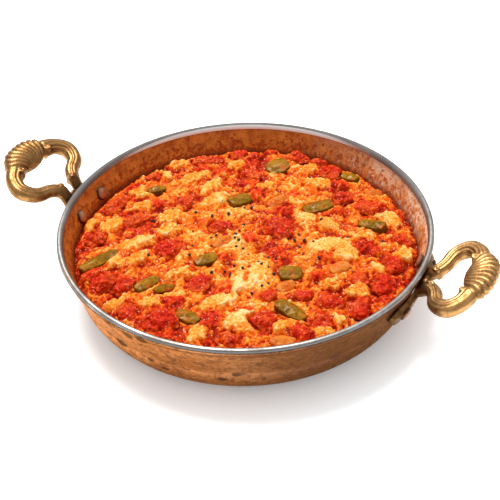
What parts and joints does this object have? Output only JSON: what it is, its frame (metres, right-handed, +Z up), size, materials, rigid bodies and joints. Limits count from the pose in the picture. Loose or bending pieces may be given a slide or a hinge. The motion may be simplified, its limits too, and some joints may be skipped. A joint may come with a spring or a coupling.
{
  "type": "menemen",
  "caption": "Menemen, soft scrambled egg with tomato, green pepper and onion, in its shallow round copper pan with a tinned rim and cast brass loop handles riveted to the wall.",
  "frame": {"origin": "middle of the pan's flat base, on the surface it stands on", "axes": "+Z up, X along the line through both handles"},
  "size_m": [0.3045, 0.2196, 0.0654],
  "materials": {
    "copper": "aged copper, warm brown and mottled",
    "tin": "bright tinned edge, softly worn",
    "brass": "antique cast brass, dark in its recesses",
    "rivet_copper": "hammered copper rivet heads",
    "egg": "moist crumbly scrambled egg stained by tomato",
    "tomato": "wet cooked tomato",
    "green_pepper": "glossy cooked green pepper skin",
    "onion": "translucent softened onion"
  },
  "bodies": {
    "root": {"pan_body": "copper", "pan_rim": "tin", "handle_right": "brass", "handle_left": "brass", "rivet_right_a": "rivet_copper", "rivet_right_b": "rivet_copper", "rivet_left_a": "rivet_copper", "rivet_left_b": "rivet_copper", "menemen": "egg", "green_pepper_01": "green_pepper", "green_pepper_02": "green_pepper", "green_pepper_03": "green_pepper", "green_pepper_04": "green_pepper", "green_pepper_05": "green_pepper", "green_pepper_06": "green_pepper", "green_pepper_07": "green_pepper", "green_pepper_08": "green_pepper", "green_pepper_09": "green_pepper", "green_pepper_10": "green_pepper", "green_pepper_11": "green_pepper", "green_pepper_12": "green_pepper", "green_pepper_13": "green_pepper", "onion_01": "onion", "onion_02": "onion", "onion_03": "onion", "onion_04": "onion", "onion_05": "onion", "onion_06": "onion", "tomato_01": "tomato", "tomato_02": "tomato", "tomato_03": "tomato", "tomato_04": "tomato", "tomato_05": "tomato", "tomato_06": "tomato", "tomato_07": "tomato", "tomato_08": "tomato", "tomato_09": "tomato", "tomato_10": "tomato", "tomato_11": "tomato", "tomato_12": "tomato", "tomato_13": "tomato", "tomato_14": "tomato", "tomato_15": "tomato", "tomato_16": "tomato", "tomato_17": "tomato", "tomato_18": "tomato", "tomato_19": "tomato", "tomato_20": "tomato", "tomato_21": "tomato", "tomato_22": "tomato", "tomato_23": "tomato", "tomato_24": "tomato", "tomato_25": "tomato", "tomato_26": "tomato", "tomato_27": "tomato", "tomato_28": "tomato", "tomato_29": "tomato", "tomato_30": "tomato", "tomato_31": "tomato", "tomato_32": "tomato"}
  },
  "joints": []
}
